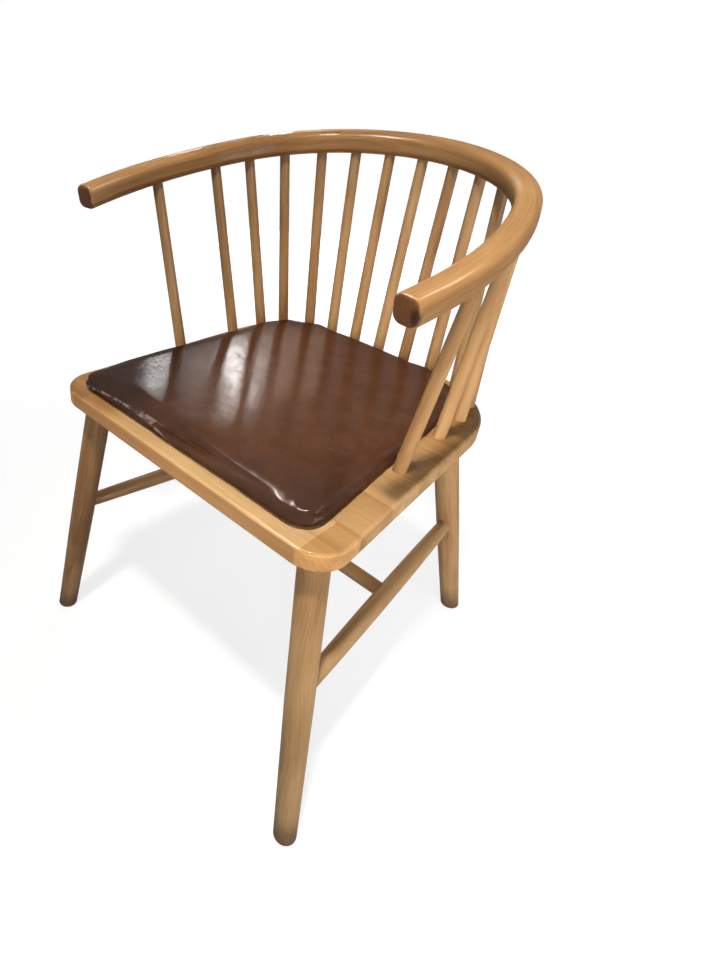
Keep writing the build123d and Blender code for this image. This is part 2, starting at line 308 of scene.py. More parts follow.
def stick_grain(node_name, number):
    """Grain of one stick, as a function for its finish."""
    middle, direction = stick_axis(node_name)
    turn = direction.rotation_difference(Vector((1, 0, 0)))

    def grain_of(tree, place):
        mapping = new_node(tree, "ShaderNodeMapping")
        feed(tree, mapping.inputs["Vector"], place)
        mapping.inputs["Rotation"].default_value = turn.to_euler()
        shift = turn @ middle
        offset = Vector((0.37 * number, 0.031 + 0.011 * (number % 3), 0.053 * (number % 5)))
        mapping.inputs["Location"].default_value = offset - shift

        # Darker towards the floor, over the lowest few centimetres of each leg
        def darker_foot(colour):
            mottle = cloud(tree, scaled(tree, place, (60, 60, 30)), detail=3)
            rise = calc(tree, "MULTIPLY_ADD", mottle, FOOT_DARK_WAVE, parts_of(tree, place)[2])
            scuff = remap(tree, rise, FOOT_DARK_LOW, FOOT_DARK_HIGH, FOOT_DARK_SHARE, 0.0)
            return blend(tree, scuff, colour, FOOT_DARK)

        return mapping.outputs["Vector"], darker_foot if node_name.startswith("leg") else None

    return grain_of


sticks = sorted(name for name in nodes if name.startswith(("spindle", "leg", "stretcher")))
for number, name in enumerate(sticks):
    tone = STICK_TONES * math.sin(2.4 * number)
    # Painted shade: the front left leg and the left spindles are drawn darker
    if name == "leg_front_left":
        tone += FRONT_LEFT_LEG_SHADE
    if name.startswith("spindle") and stick_axis(name)[0].x < LEFT_SPINDLE_X:
        tone += LEFT_SPINDLE_SHADE
    finish(name, satin_wood(name + "_wood", stick_grain(name, number), tone))
print("sticks finished:", len(sticks))

# %% [markdown]
# The arm rail is bent from one stick, so its fibres follow the bend: a wide arc round the back,
# a flatter arc along each side. Shader arithmetic turns a place on the rail into a distance along
# that line and a distance from it, in the tilted plane of the bow. The arm ends show dark end
# grain, and the right one has a knot.

# %% The bow of the arm rail
BOW_MIDDLE = Vector((0, 0.1921, 0.7390))
BOW_TILT = math.radians(8.9)
BACK_RADIUS, BACK_ANGLE = 0.215, math.radians(70)
SIDE_RADIUS = 0.487
ARM_END_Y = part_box("arm_rail")[0].y
RAIL_TINT = (0.98, 0.88, 0.74, 1)
END_GRAIN = (0.40, 0.27, 0.22, 1)
END_START, END_FULL, END_FACING = 0.016, 0.010, (0.62, 0.92)
KNOT_BROWN = (0.035, 0.016, 0.008, 1)
KNOT_PLACE = Vector((0.2350, -0.1925, 0.6765))
KNOT_SHAPE = (1.0, 0.8, 0.6)
KNOT_CORE, KNOT_EDGE, KNOT_SHARE, KNOT_WAVE = 0.0005, 0.0042, 0.92, 0.004
RAIL_TONE = -0.02


def bow_grain(tree, place):
    """Grain vector that follows the bow, and the darker end grain with its knot."""
    mapping = new_node(tree, "ShaderNodeMapping")
    feed(tree, mapping.inputs["Vector"], place)
    turn = Matrix.Rotation(-BOW_TILT, 3, "X")
    mapping.inputs["Rotation"].default_value = turn.to_euler()
    mapping.inputs["Location"].default_value = -(turn @ BOW_MIDDLE)
    x, y, z = parts_of(tree, mapping.outputs["Vector"])
    side = calc(tree, "ABSOLUTE", x)

    back_y = calc(tree, "ADD", y, BACK_RADIUS)
    back_turn = calc(tree, "ARCTAN2", side, back_y)
    back_reach = span(tree, side, back_y)

    centre_x = (BACK_RADIUS - SIDE_RADIUS) * math.sin(BACK_ANGLE)
    centre_y = -BACK_RADIUS + (BACK_RADIUS - SIDE_RADIUS) * math.cos(BACK_ANGLE)
    side_x = calc(tree, "SUBTRACT", side, centre_x)
    side_y = calc(tree, "SUBTRACT", y, centre_y)
    side_turn = calc(tree, "SUBTRACT", calc(tree, "ARCTAN2", side_x, side_y), BACK_ANGLE)
    side_reach = span(tree, side_x, side_y)

    on_side = calc(tree, "GREATER_THAN", back_turn, BACK_ANGLE)
    on_back = calc(tree, "SUBTRACT", 1.0, on_side)
    length = calc(tree, "MULTIPLY", calc(tree, "MULTIPLY", back_turn, BACK_RADIUS), on_back)
    side_length = calc(tree, "MULTIPLY_ADD", side_turn, SIDE_RADIUS, BACK_RADIUS * BACK_ANGLE)
    length = calc(tree, "ADD", length, calc(tree, "MULTIPLY", side_length, on_side))
    length = calc(tree, "MULTIPLY", length, calc(tree, "SIGN", x))
    off_back = calc(tree, "MULTIPLY", calc(tree, "SUBTRACT", back_reach, BACK_RADIUS), on_back)
    off_side = calc(tree, "MULTIPLY", calc(tree, "SUBTRACT", side_reach, SIDE_RADIUS), on_side)
    off_line = calc(tree, "ADD", off_back, off_side)

    def tint(colour):
        normal = new_node(tree, "ShaderNodeNewGeometry").outputs["Normal"]
        facing = calc(tree, "MULTIPLY", parts_of(tree, normal)[1], -1.0)
        forward = calc(tree, "MULTIPLY", parts_of(tree, place)[1], -1.0)
        at_end = remap(tree, forward, -ARM_END_Y - END_START, -ARM_END_Y - END_FULL)
        end_face = calc(tree, "MULTIPLY", remap(tree, facing, *END_FACING), at_end)
        colour = blend(tree, 1.0, colour, RAIL_TINT, "MULTIPLY")
        darker = blend(tree, end_face, colour, blend(tree, 1.0, colour, END_GRAIN, "MULTIPLY"))
        gap = new_node(tree, "ShaderNodeVectorMath", operation="DISTANCE")
        feed(tree, gap.inputs[0], scaled(tree, place, KNOT_SHAPE))
        gap.inputs[1].default_value = KNOT_PLACE * Vector(KNOT_SHAPE)
        wobble = cloud(tree, scaled(tree, place, (220, 220, 220)), detail=2)
        reach = calc(tree, "MULTIPLY_ADD", wobble, -KNOT_WAVE, gap.outputs["Value"])
        knot = remap(tree, reach, KNOT_CORE, KNOT_EDGE, KNOT_SHARE, 0.0)
        return blend(tree, knot, darker, KNOT_BROWN)

    return joined(tree, length, off_line, z), tint


finish("arm_rail", satin_wood("arm_rail_wood", bow_grain, RAIL_TONE))
print("rail finished: arms end at y = %.3f" % ARM_END_Y)

# %% [markdown]
# The seat is glued up from strips that run from side to side, and long strips are end-jointed from
# shorter blocks. Each block comes from another board, so it has its own tone, and the glue lines
# show as hair-thin darker seams. The front strip shows most, so its tones are set one by one: its
# right corner block has its own tone, painted shade darkens its left end, a painted sheen pales
# its top, and painted light brightens its front face.

# %% The glued seat
STRIP_WIDTH = 0.062
STRIP_START = -0.2475
BLOCK_LENGTH = 0.410
GLUE_BROWN = (0.230, 0.105, 0.038, 1)
# Front strip: painted shade on the left end, painted sheen on top, painted light on the front face
FRONT_LEFT_SHADE = (0.74, 0.62, 0.52, 1)
FRONT_TOP_SHEEN = (1.14, 1.18, 1.20, 1)
FRONT_CORNER_TONE = (0.92, 0.82, 0.66, 1)
FRONT_FACE_LIGHT = (1.30, 1.16, 0.98, 1)
FRONT_CORNER_X = 0.198
FRONT_SHADE_FADE = (-0.150, -0.085)
FACE_TO_TOP = (0.3, 0.8)
BLOCK_DARK, BLOCK_LIGHT = (0.86, 0.80, 0.72, 1), (1.10, 1.10, 1.06, 1)
SEAM_CORE, SEAM_EDGE, SEAM_SHARE = 0.00012, 0.00050, 0.42
SEAT_TONE = 0.06


def seat_grain(tree, place):
    """Grain vector of the seat's strips, shifted from block to block, with their glue lines."""
    x, y, z = parts_of(tree, place)
    strip_run = calc(tree, "DIVIDE", calc(tree, "SUBTRACT", y, STRIP_START), STRIP_WIDTH)
    strip = calc(tree, "FLOOR", strip_run)
    strip_luck = new_node(tree, "ShaderNodeTexWhiteNoise", noise_dimensions="1D")
    feed(tree, strip_luck.inputs["W"], calc(tree, "ADD", strip, 0.5))
    start = calc(tree, "MULTIPLY_ADD", strip_luck.outputs["Value"], BLOCK_LENGTH, x)
    block_run = calc(tree, "DIVIDE", calc(tree, "ADD", start, 1.0), BLOCK_LENGTH)
    block = calc(tree, "FLOOR", block_run)
    block_luck = new_node(tree, "ShaderNodeTexWhiteNoise", noise_dimensions="3D")
    in_strip, in_block = calc(tree, "ADD", strip, 0.5), calc(tree, "ADD", block, 0.5)
    feed(tree, block_luck.inputs["Vector"], joined(tree, in_strip, in_block, 0.5))
    luck = block_luck.outputs["Value"]
    shift = calc(tree, "MULTIPLY", luck, 3.0)

    def tint(colour):
        warm = blend(tree, luck, BLOCK_DARK, BLOCK_LIGHT)
        # Painted shade on the left end and a painted sheen on the top of the front strip
        front = blend(tree, remap(tree, x, *FRONT_SHADE_FADE), FRONT_LEFT_SHADE, FRONT_TOP_SHEEN)
        front = blend(tree, calc(tree, "GREATER_THAN", x, FRONT_CORNER_X), front, FRONT_CORNER_TONE)
        # Painted light on the front face, chosen by which way the surface faces
        upward = parts_of(tree, new_node(tree, "ShaderNodeNewGeometry").outputs["Normal"])[2]
        front = blend(tree, remap(tree, upward, *FACE_TO_TOP), FRONT_FACE_LIGHT, front)
        warm = blend(tree, calc(tree, "LESS_THAN", strip, 0.5), warm, front)
        toned = blend(tree, 1.0, colour, warm, "MULTIPLY")
        strip_edge = calc(tree, "PINGPONG", strip_run, 0.5)
        strip_seam = calc(tree, "MULTIPLY", strip_edge, STRIP_WIDTH)
        block_edge = calc(tree, "PINGPONG", block_run, 0.5)
        block_seam = calc(tree, "MULTIPLY", block_edge, BLOCK_LENGTH)
        nearest = calc(tree, "MINIMUM", strip_seam, block_seam)
        seam = remap(tree, nearest, SEAM_CORE, SEAM_EDGE, SEAM_SHARE, 0.0)
        return blend(tree, seam, toned, GLUE_BROWN)

    moved = [calc(tree, "ADD", part, shift) for part in (x, y, z)]
    return joined(tree, *moved), tint


finish("seat_plank", satin_wood("seat_plank_wood", seat_grain, SEAT_TONE))
print("seat finished: strips of %.0f mm" % (1000 * STRIP_WIDTH))

# %% [markdown]
# Four zinc-plated screws hold the pad from below. Their heads sit in counterbores under the seat,
# where a scratched, slightly uneven plating is all that shows.

# %% Screws
ZINC_DULL, ZINC_BRIGHT = (0.42, 0.42, 0.40, 1), (0.72, 0.71, 0.68, 1)
zinc, tree, shader = new_material("zinc_plating")
place = new_node(tree, "ShaderNodeTexCoord").outputs["Object"]
scuffs = cloud(tree, scaled(tree, place, (900, 900, 260)), detail=3)
feed(tree, shader.inputs["Base Color"], blend(tree, scuffs, ZINC_DULL, ZINC_BRIGHT))
feed(tree, shader.inputs["Roughness"], remap(tree, scuffs, 0.3, 0.7, 0.24, 0.46))
shader.inputs["Metallic"].default_value = 1.0
finish("pad_screws", zinc)
print("screws finished")

# %% [markdown]
# The seat pad is dark leather over thin foam on a board. It is a soft piece, so it is shaped first
# as a plain slab with the pad's outline, then blown up by a cloth simulation: pressure crowns the
# top and rounds the edges as the filling does, while the face on the seat is held flat. Its left
# side is a little wider than its right one, and its left front corner is tighter.

# %% Outline of the pad
PAD_LOW, PAD_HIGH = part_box("pad_cover")
PAD_MIDDLE_Y = (PAD_LOW.y + PAD_HIGH.y) / 2
PAD_INSET = 0.0012
PAD_LEFT_CORNER, PAD_RIGHT_CORNER, PAD_REAR_CORNER = 0.022, 0.032, 0.070
PAD_REAR_NARROWER = 0.0395
PAD_SIDE_HEIGHT = 0.0252
PAD_LEFT_WIDER, PAD_RIGHT_WIDER = 0.0065, 0.0015

bpy.ops.object.select_all(action="DESELECT")
bpy.ops.mesh.primitive_plane_add(size=1.0, location=(0, 0, 0))
pad = bpy.context.object
pad.name = "leather_pad"
pad.data.name = "leather_pad"
bpy.ops.object.mode_set(mode="EDIT")
bpy.ops.mesh.select_mode(type="VERT")
print("pad box:", [round(v, 4) for v in PAD_LOW], [round(v, 4) for v in PAD_HIGH])


def select_where(piece, test):
    """Selects, in edit mode, the points of a piece that pass a test of their place."""
    bpy.ops.mesh.select_all(action="DESELECT")
    bpy.ops.object.mode_set(mode="OBJECT")
    for point in piece.data.vertices:
        point.select = test(point.co)
    bpy.ops.object.mode_set(mode="EDIT")


# %% Shape the slab in edit mode
width = PAD_HIGH.x - PAD_LOW.x - 2 * PAD_INSET
depth = PAD_HIGH.y - PAD_LOW.y - 2 * PAD_INSET
bpy.ops.mesh.select_all(action="SELECT")
bpy.ops.transform.resize(value=(width, depth, 1))
select_where(pad, lambda co: co.y > 0)
bpy.ops.transform.resize(value=((width - 2 * PAD_REAR_NARROWER) / width, 1, 1))
select_where(pad, lambda co: co.x < 0)
bpy.ops.transform.translate(value=(-PAD_LEFT_WIDER, 0, 0))
select_where(pad, lambda co: co.x > 0)
bpy.ops.transform.translate(value=(PAD_RIGHT_WIDER, 0, 0))
select_where(pad, lambda co: co.y > 0)
bpy.ops.mesh.bevel(offset=PAD_REAR_CORNER, offset_type="OFFSET", segments=14, affect="VERTICES")
select_where(pad, lambda co: co.y < -depth / 2 + 0.002 and co.x < 0)
bpy.ops.mesh.bevel(offset=PAD_LEFT_CORNER, offset_type="OFFSET", segments=10, affect="VERTICES")
select_where(pad, lambda co: co.y < -depth / 2 + 0.002 and co.x > 0)
bpy.ops.mesh.bevel(offset=PAD_RIGHT_CORNER, offset_type="OFFSET", segments=10, affect="VERTICES")
bpy.ops.mesh.select_all(action="SELECT")
bpy.ops.mesh.extrude_region_move(TRANSFORM_OT_translate={"value": (0, 0, PAD_SIDE_HEIGHT)})
bpy.ops.mesh.select_all(action="SELECT")
bpy.ops.mesh.normals_make_consistent(inside=False)
bpy.ops.transform.translate(value=(0, PAD_MIDDLE_Y, PAD_LOW.z))
bpy.ops.object.mode_set(mode="OBJECT")
print("slab:", len(pad.data.vertices), "points")

# %% An even mesh for the pad
EDGE_ROUNDING, PAD_VOXEL = 0.0060, 0.0050


def apply_all(piece):
    """Applies every modifier of a piece, from the first to the last."""
    bpy.ops.object.select_all(action="DESELECT")
    piece.select_set(True)
    bpy.context.view_layer.objects.active = piece
    for modifier in list(piece.modifiers):
        bpy.ops.object.modifier_apply(modifier=modifier.name)


def positions(piece):
    """Places of a piece's points as an array."""
    points = np.empty(len(piece.data.vertices) * 3)
    piece.data.vertices.foreach_get("co", points)
    return points.reshape(-1, 3)


def put(piece, points):
    """Sets the places of a piece's points."""
    piece.data.vertices.foreach_set("co", points.ravel())
    piece.data.update()


rounding = pad.modifiers.new("edges", "BEVEL")
rounding.width = EDGE_ROUNDING
rounding.segments = 4
rounding.limit_method = "ANGLE"
rounding.angle_limit = math.radians(60)
remesh = pad.modifiers.new("even_mesh", "REMESH")
remesh.mode = "VOXEL"
remesh.voxel_size = PAD_VOXEL
apply_all(pad)
before = positions(pad)
print("even mesh:", len(before), "points")

# %% Cloth simulation of the pad
MOST_RISE, MOST_BULGE = 0.0036, 0.0016
HELD_HEIGHT = 0.0035
FILLING_PRESSURE, LEATHER_STIFFNESS, LEATHER_BENDING = 4.0, 40, 2.0
SWELL_FRAMES = 20
held = pad.vertex_groups.new(name="held")
floor_points = [i for i, co in enumerate(before) if co[2] < PAD_LOW.z + HELD_HEIGHT]
held.add(floor_points, 1.0, "REPLACE")
cloth = pad.modifiers.new("filling", "CLOTH")
cloth.settings.vertex_group_mass = held.name
cloth.settings.quality = 6
cloth.settings.use_pressure = True
cloth.settings.uniform_pressure_force = FILLING_PRESSURE
cloth.settings.tension_stiffness = LEATHER_STIFFNESS
cloth.settings.compression_stiffness = LEATHER_STIFFNESS
cloth.settings.bending_stiffness = LEATHER_BENDING
cloth.settings.effector_weights.gravity = 0.0
cloth.point_cache.frame_start, cloth.point_cache.frame_end = 1, SWELL_FRAMES
for step in range(1, SWELL_FRAMES + 1):
    scene.frame_set(step)
apply_all(pad)
scene.frame_set(1)
swell = positions(pad) - before
print("swell: most %.1f mm" % (1000 * np.abs(swell).max()))
most = np.array((MOST_BULGE, MOST_BULGE, MOST_RISE))
put(pad, before + most * np.tanh(swell / most))
smooth = pad.modifiers.new("even", "SMOOTH")
smooth.factor, smooth.iterations = 0.5, 4
finer = pad.modifiers.new("finer", "SUBSURF")
finer.levels = finer.render_levels = 1
apply_all(pad)
print("pad:", len(pad.data.vertices), "points, top at %.4f" % positions(pad)[:, 2].max())

# %% [markdown]
# The filling doesn't show how the leather is turned under. Along the foot of the pad the skin folds
# over the board's edge: a shallow groove runs between an upper roll and a lower one, and small
# puckers cross it. They are moved into the points, as a sculptor would, with steady noise so
# that each run gives the same pad.

# %% A finer mesh along the edge
FRONT_BAND = 0.038
bpy.ops.object.mode_set(mode="EDIT")
bpy.ops.mesh.select_mode(type="FACE")
bpy.ops.mesh.select_all(action="DESELECT")
bpy.ops.object.mode_set(mode="OBJECT")
for face in pad.data.polygons:
    near_front = face.center.y < PAD_LOW.y + FRONT_BAND and face.normal.z > 0
    face.select = near_front or (abs(face.normal.z) < 0.97 and face.center.z > PAD_LOW.z + 0.001)
bpy.ops.object.mode_set(mode="EDIT")
bpy.ops.mesh.subdivide(number_cuts=1)
bpy.ops.object.mode_set(mode="OBJECT")
print("pad with a finer edge:", len(pad.data.vertices), "points")

# %% Measures of the pad's points
points = positions(pad)
low, high = points[:, 2].min(), PAD_LOW.z + PAD_SIDE_HEIGHT
normals = np.empty(len(points) * 3)
pad.data.vertices.foreach_get("normal", normals)
normals = normals.reshape(-1, 3)


def ease(value, start, end):
    """A smooth step from 0 to 1 between two values."""
    share = np.clip((value - start) / (end - start), 0, 1)
    return share * share * (3 - 2 * share)


def ripple(scale, seed, stretch=(1, 1, 1)):
    """Steady soft noise over the pad, from about -1 to 1."""
    size = np.array(stretch) * scale
    shift = Vector((seed, seed, seed))
    return np.array([noise.noise(Vector(co * size) + shift) for co in points])


def roll(middle, width):
    """A band that runs round the pad at a share of its height."""
    return np.exp(-((height - middle) / width) ** 2)


ALONG_FRONT = (1, 0, 0)
sideways = np.clip(1.35 * np.hypot(normals[:, 0], normals[:, 1]) - 0.25, 0, 1)
front = ease(-normals[:, 1], 0.25, 0.60)
height = (points[:, 2] - low) / (high - low) + 0.035 * ripple(22, 3.1, (1, 1, 0.2))
inward = points[:, 1] - points[:, 1].min()
across = points[:, 0]
print("measured:", len(points), "points")

# %% [markdown]
# The front doesn't stand upright. From a ridge on top the leather slopes forward and down to a fold,
# and drops from there to the seat. The ridge starts close to the edge on the right and lies further
# back to the left. The slope is a profile of stops with rounded corners, laid over the old edge.

# %% The sloped front
RIDGE_LEFT, RIDGE_RIGHT = (-0.165, -0.020), (0.195, 0.160)
RIDGE_INWARD, RIDGE_FURTHER, RIDGE_TURN = 0.0065, 0.0195, (0.12, -0.12)
FOLD_RUNS_OUT = (0.150, 0.000)
SLOPE_STOPS = (-0.3, 0.0, 0.14, 0.26, 0.42, 0.58, 0.68, 0.82, 1.0)
SLOPE_INWARD = (1.3, 1.0, 0.80, 0.62, 0.35, 0.10, -0.02, 0.0, 0.0)
SLOPE_DROP = (0.0, 0.0, 0.0058, 0.0094, 0.0120, 0.0142, 0.0168, 0.0215, 0.0272)
SOFT_STEPS = 39

at = np.linspace(SLOPE_STOPS[0], SLOPE_STOPS[-1], 261)
soften = np.hanning(SOFT_STEPS) / np.hanning(SOFT_STEPS).sum()


def smooth_line(values):
    """Values between the stops of the slope, with rounded corners."""
    line = np.interp(at, SLOPE_STOPS, values)
    return np.convolve(np.pad(line, SOFT_STEPS // 2, mode="edge"), soften, mode="valid")


ridge_share = ease(across, *RIDGE_LEFT) * ease(across, *RIDGE_RIGHT)
ridge_share *= points[:, 2] > low + 0.0004
ridge_line = RIDGE_INWARD + RIDGE_FURTHER * ease(across, *RIDGE_TURN)
ridge_line += 0.0008 * ripple(38, 4.4, ALONG_FRONT) + 0.0004 * ripple(110, 2.2, ALONG_FRONT)
rim = PAD_LOW.z + PAD_SIDE_HEIGHT + 0.002
run = (rim - points[:, 2]) - inward
share = (run + ridge_line) / (ridge_line + rim - low)
new_inward = np.interp(share, at, smooth_line(SLOPE_INWARD)) * ridge_line
new_drop = np.interp(share, at, smooth_line(SLOPE_DROP)) * (rim - low) / SLOPE_DROP[-1]
in_front = ease(share, -0.12, 0.06) * ridge_share * (normals[:, 2] > -0.5)
in_front *= ease(across, *FOLD_RUNS_OUT)
push_in = in_front * (new_inward - np.clip(-run, 0, None))
push_down = in_front * (new_drop - np.clip(run, 0, None))
print("front slopes in by up to %.1f mm" % (1000 * push_in.max()))

# %% Rolls, hollow and puckers of the edge
LEFT_CORNER, CORNER_DROP, CORNER_REACH = (-0.198, -0.228), 0.0055, 0.050
UPPER_ROLL, HOLLOW, LOWER_ROLL, PUCKERS = (0.97, 0.10), (0.64, 0.16), (0.36, 0.10), (0.30, 0.22)
ROLL_OUT, HOLLOW_IN, FOLD_OUT = 0.0020, 0.0016, 0.0016
TUCK_IN, PUCKER_OUT, TOP_SAG = 0.0022, 0.0005, 0.0007

corner = np.hypot(points[:, 0] - LEFT_CORNER[0], points[:, 1] - LEFT_CORNER[1])
lowered = CORNER_DROP * np.exp(-(corner / CORNER_REACH) ** 2)
strength = (0.45 + 0.55 * front) * (1 - 0.85 * front * ridge_share)
right = ease(normals[:, 0], 0.25, 0.60) * ease(points[:, 1], 0.0, -0.14)
ridge = roll(*UPPER_ROLL) * ROLL_OUT * (1 + 0.35 * ripple(70, 1.9)) * right
hollow = roll(*HOLLOW) * HOLLOW_IN * strength
fold = roll(*LOWER_ROLL) * FOLD_OUT * (0.85 + 0.40 * ripple(40, 5.7)) * strength
tuck = ease(height, 0.16, 0.0) * TUCK_IN
pucker = roll(*PUCKERS) * PUCKER_OUT * ripple(120, 8.3, (1, 1, 0.3))
sag = TOP_SAG * ripple(11, 6.2, (1, 1, 0)) * np.clip(normals[:, 2], 0, 1)
move = sideways * (ridge - hollow + fold - tuck + pucker) + sag
points = points + normals * move[:, None]
points[:, 1] += push_in
points[:, 2] -= push_down + lowered * np.clip((points[:, 2] - low) / (high - low), 0, 1)
points[:, 2] = np.clip(points[:, 2], PAD_LOW.z, None)
print("edge rolled: most %.1f mm" % (1000 * np.abs(move).max()))

# %% [markdown]
# Low on the left front the cut end of the leather shows as a thin, uneven bead. On the left side the
# first spindle stands close to the pad and presses a shallow dent into it.

# %% Turned end and dent
TURNED_TOP, TURNED_X, TURNED_BEND = 0.4545, -0.100, 1.1
TURNED_RIGHT, TURNED_LEFT = (0.005, -0.035), (-0.190, -0.165)
BEAD_OUT, BEAD_WIDTH = 0.0012, 0.0018
DENT_IN, DENT_REACH, DENT_HEIGHT, DENT_FADE = 0.0022, 0.020, 0.010, (-0.160, -0.178)

turned_line = TURNED_TOP - TURNED_BEND * (across - TURNED_X) ** 2
turned_here = front * ease(across, *TURNED_RIGHT) * ease(across, *TURNED_LEFT)
bead = np.exp(-((points[:, 2] - turned_line) / BEAD_WIDTH) ** 2)
bead *= 0.8 + 0.7 * ripple(75, 7.7, ALONG_FRONT)
points[:, 1] -= BEAD_OUT * turned_here * bead

middle, direction = stick_axis("spindle_01")
post = middle + direction * ((PAD_LOW.z + DENT_HEIGHT - middle.z) / direction.z)
pressed = np.exp(-((points[:, 1] - post.y) / DENT_REACH) ** 2)
points[:, 0] += DENT_IN * pressed * ease(points[:, 0], *DENT_FADE)
put(pad, points)
bpy.ops.object.select_all(action="DESELECT")
pad.select_set(True)
bpy.context.view_layer.objects.active = pad
bpy.ops.object.shade_smooth()
print("pad shaped: top at %.4f" % points[:, 2].max())

# %% [markdown]
# The leather is a dark chocolate brown with a polished, slightly crackled finish. It is lighter where
# it is sat on and darker along its edges, partly from wear and partly as painted shade of the rolled
# edges. It is darkest to the left front, which is painted shade where the light falls off. The bead
# of the turned end is drawn pale in places.

# %% Leather colours, with wear and painted shade
LEATHER_DARK = (0.030, 0.012, 0.006, 1)
LEATHER_WORN_AND_LIT = (0.096, 0.037, 0.0165, 1)
LEATHER_SCUFF = (0.230, 0.120, 0.075, 1)
LEATHER_BEAD_PALE = (0.300, 0.205, 0.160, 1)
MOTTLE_DARK, MOTTLE_LIGHT = (0.86, 0.84, 0.82, 1), (1.08, 1.08, 1.10, 1)
CREASE_DARK = (0.024, 0.009, 0.005, 1)
CREASE_SHARE, SCUFF_COVER = 0.22, 0.55
# Lighter where sat on and darker to the edges, as wear and painted shade; darkest to the left front,
# as painted shade
SAT_ON_RANGE, SAT_ON_WAVE, EDGE_WEAR_AND_SHADE = (0.085, 0.205), 0.10, 0.35
SHADE_ACROSS, SHADE_BACK, SHADE_WAVE, SHADE_RANGE = 0.75, 0.45, 0.09, (-0.195, -0.060)
BEAD_CORE, BEAD_EDGE = 0.0003, 0.0019
PALE_RANGE, PALE_LEAST, PALE_MOST = (0.38, 0.58), 0.06, 0.72

leather, tree, shader = new_material("chocolate_leather")
place = new_node(tree, "ShaderNodeTexCoord").outputs["Object"]
x, y, z = parts_of(tree, place)


def hide_cloud(scale, **settings):
    """Soft noise over the hide, at a scale per metre along its three directions."""
    return cloud(tree, scaled(tree, place, scale), **settings)


sat_on = new_node(tree, "ShaderNodeVectorMath", operation="LENGTH")
feed(tree, sat_on.inputs[0], joined(tree, x, calc(tree, "SUBTRACT", y, PAD_MIDDLE_Y), 0.0))
patches = hide_cloud((14, 14, 14), detail=5, roughness=0.6)
reach = calc(tree, "MULTIPLY_ADD", patches, -SAT_ON_WAVE, sat_on.outputs["Value"])
wear_and_shade = remap(tree, reach, *SAT_ON_RANGE, 1.0, EDGE_WEAR_AND_SHADE)
# Painted shade: darker to the left front, where the light falls off
falloff_shade = calc(tree, "MULTIPLY_ADD", x, SHADE_ACROSS, calc(tree, "MULTIPLY", y, SHADE_BACK))
falloff_shade = calc(tree, "MULTIPLY_ADD", calc(tree, "SUBTRACT", patches, 0.5), SHADE_WAVE, falloff_shade)
wear_and_shade = calc(tree, "MULTIPLY", wear_and_shade, remap(tree, falloff_shade, *SHADE_RANGE))

from_middle = calc(tree, "POWER", calc(tree, "SUBTRACT", x, TURNED_X), 2.0)
turned = calc(tree, "MULTIPLY_ADD", from_middle, -TURNED_BEND, TURNED_TOP)
off_turned = calc(tree, "ABSOLUTE", calc(tree, "SUBTRACT", z, turned))
turned = remap(tree, off_turned, BEAD_CORE, BEAD_EDGE, 1.0, 0.0)
at_front = remap(tree, y, PAD_LOW.y + 0.020, PAD_LOW.y + 0.010)
turned = calc(tree, "MULTIPLY", turned, at_front)
turned = calc(tree, "MULTIPLY", turned, remap(tree, x, 0.005, -0.040))
# The bead is drawn pale in places
pale_wave = hide_cloud((130, 60, 130), detail=3)
pale_wave = remap(tree, pale_wave, *PALE_RANGE, PALE_LEAST, PALE_MOST)
turned = calc(tree, "MULTIPLY", turned, pale_wave)
print("leather wear:", len(tree.nodes), "nodes")

# %% [markdown]
# A network of fine creases drawn out from side to side, the pebble grain of the hide and slow waves
# go into the relief. A few pale scuffs lie on top.

# %% Creases, hide and scuffs
CRACKLE, PEBBLES = (46, 118, 118), (820, 820, 820)
CRACKLE_UNEVEN, CREASE_WIDTH = 0.85, 0.055
PEBBLE_HEIGHT, WAVE_HEIGHT = -0.12, 1.2

crackle = new_node(tree, "ShaderNodeTexVoronoi", feature="DISTANCE_TO_EDGE")
feed(tree, crackle.inputs["Vector"], scaled(tree, place, CRACKLE))
crackle.inputs["Scale"].default_value = 1.0
crackle.inputs["Randomness"].default_value = CRACKLE_UNEVEN
crease = remap(tree, crackle.outputs["Distance"], 0.0, CREASE_WIDTH, 1.0, 0.0)
crease_here = remap(tree, hide_cloud((20, 20, 20), detail=2), 0.42, 0.66)
crease = calc(tree, "MULTIPLY", crease, crease_here)
pebble = new_node(tree, "ShaderNodeTexVoronoi", feature="F1")
feed(tree, pebble.inputs["Vector"], scaled(tree, place, PEBBLES))
pebble.inputs["Scale"].default_value = 1.0
waves = calc(tree, "MULTIPLY", hide_cloud((45, 45, 45), detail=2), WAVE_HEIGHT)
hide = calc(tree, "MULTIPLY_ADD", pebble.outputs["Distance"], PEBBLE_HEIGHT, waves)
scratch = remap(tree, hide_cloud((70, 320, 70), detail=3), 0.66, 0.74)
scratch_here = remap(tree, hide_cloud((13, 13, 13)), 0.56, 0.66)
scuff = calc(tree, "MULTIPLY", scratch, scratch_here)
print("leather relief:", len(tree.nodes), "nodes")

# %% [markdown]
# The polish is a thin coat like the wood's lacquer. It follows the relief, so that highlights break
# up along the ridge.

# %% Leather finish
POLISH_WEIGHT, POLISH_ROUGHNESS, POLISH_INDEX = 0.11, 0.14, 2.2
HIDE_STRENGTH, HIDE_DEPTH = 0.35, 0.0006

